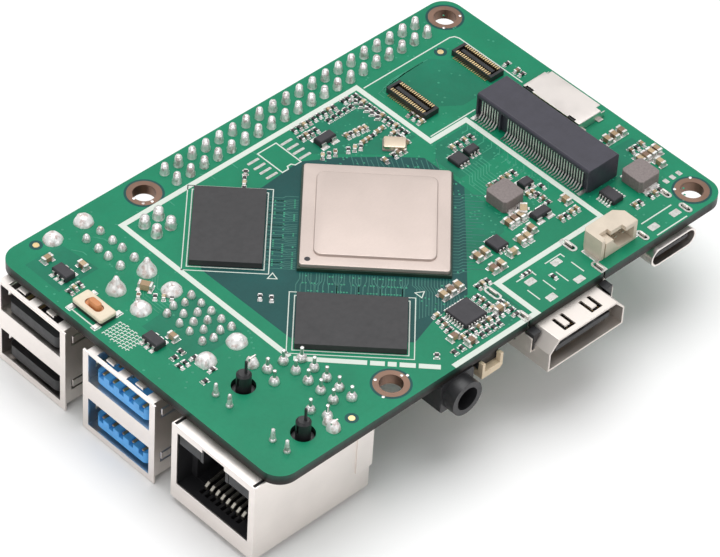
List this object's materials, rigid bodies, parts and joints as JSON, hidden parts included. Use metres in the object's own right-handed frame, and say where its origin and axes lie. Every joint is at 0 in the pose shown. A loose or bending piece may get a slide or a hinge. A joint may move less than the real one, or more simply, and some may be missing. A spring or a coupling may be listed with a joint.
{
  "type": "single board computer",
  "caption": "Single board computer: processor board with pin header, stacked USB sockets, network, video, audio, power, flat-cable and card sockets",
  "frame": {"origin": "centre of the four mounting holes, on the board's upper face, where the processor sits", "axes": "+X towards the memory-card edge, +Y towards the two-row pin header, +Z out of the processor side; the tall sockets hang below"},
  "size_m": [0.0869, 0.0602, 0.0206],
  "materials": {
    "solder_mask": "semi-gloss green solder mask over glass-epoxy laminate",
    "black_plastic": "moulded black high-temperature plastic",
    "gold_plate": "gold over nickel on copper alloy",
    "bare_steel": "nickel-plated sheet steel",
    "blue_plastic": "moulded blue plastic",
    "tinned_copper": "bright matte tin plating",
    "clear_plastic": "smoky clear acrylic",
    "ferrite": "sintered ferrite",
    "beige_plastic": "moulded beige plastic",
    "slate_plastic": "moulded slate-grey plastic",
    "ivory_plastic": "moulded ivory nylon",
    "cream_plastic": "moulded cream plastic",
    "orange_plastic": "moulded orange plastic",
    "package_laminate": "dark green package laminate",
    "nickel_lid": "satin nickel-plated copper",
    "package_resin": "moulded dark grey epoxy",
    "choke_composite": "pressed metal powder composite",
    "ceramic_base": "fired alumina ceramic",
    "ceramic_tan": "fired barium titanate ceramic",
    "resistor_black": "glazed black resistor film"
  },
  "bodies": {
    "board": {"circuit_board": "solder_mask", "gpio_header_block": "black_plastic", "gpio_header_pins": "gold_plate", "power_header_block": "black_plastic", "power_header_pins": "gold_plate", "usb2_shell": "bare_steel", "usb2_insulator": "black_plastic", "usb2_contacts": "gold_plate", "usb3_shell": "bare_steel", "usb3_insulator": "blue_plastic", "usb3_contacts": "gold_plate", "ethernet_shell": "bare_steel", "ethernet_housing": "black_plastic", "ethernet_contact_carrier": "black_plastic", "ethernet_contacts": "gold_plate", "ethernet_pins": "tinned_copper", "ethernet_light_pipes": "clear_plastic", "ethernet_inner_board": "solder_mask", "ethernet_transformers": "ferrite", "hdmi_shell": "bare_steel", "hdmi_insulator": "black_plastic", "hdmi_contacts": "gold_plate", "usbc_shell": "bare_steel", "usbc_insulator": "black_plastic", "usbc_contacts": "gold_plate", "audio_socket_body": "black_plastic", "audio_socket_contacts": "tinned_copper", "camera_socket_housing": "black_plastic", "camera_socket_contacts": "tinned_copper", "display_socket_housing": "black_plastic", "display_socket_contacts": "tinned_copper", "card_socket_housing": "slate_plastic", "card_socket_contacts": "tinned_copper", "memory_card_cover": "bare_steel", "memory_card_base": "black_plastic", "memory_card_contacts": "gold_plate", "module_socket_housings": "black_plastic", "module_socket_contacts": "gold_plate", "fan_socket_housing": "ivory_plastic", "fan_socket_pins": "tinned_copper", "button_body": "cream_plastic", "button_dome": "bare_steel", "button_terminals": "tinned_copper", "processor_substrate": "package_laminate", "processor_lid": "nickel_lid", "memory_chips": "package_resin", "power_inductors": "choke_composite", "crystal_base": "ceramic_base", "crystal_can": "bare_steel", "audio_codec_chip": "package_resin", "small_chips": "package_resin", "power_management_chip": "package_resin", "ethernet_phy_chip": "package_resin", "chip_leads": "tinned_copper", "capacitor_bodies": "ceramic_tan", "resistor_bodies": "resistor_black", "chip_end_caps": "tinned_copper"},
    "button": {"button_actuator": "orange_plastic"},
    "camera_latch": {"camera_socket_latch": "beige_plastic"},
    "display_latch": {"display_socket_latch": "beige_plastic"}
  },
  "joints": [
    {"name": "button_press", "type": "slide", "parent": "board", "child": "button", "axis": [0, 0, -1], "range_m": [0, 0.00025], "stiffness_N_per_m": 2000, "springref_m": -0.0002},
    {"name": "camera_latch_slide", "type": "slide", "parent": "board", "child": "camera_latch", "axis": [0, 0, -1], "range_m": [0, 0.0008]},
    {"name": "display_latch_slide", "type": "slide", "parent": "board", "child": "display_latch", "axis": [0, 0, -1], "range_m": [0, 0.0008]}
  ]
}
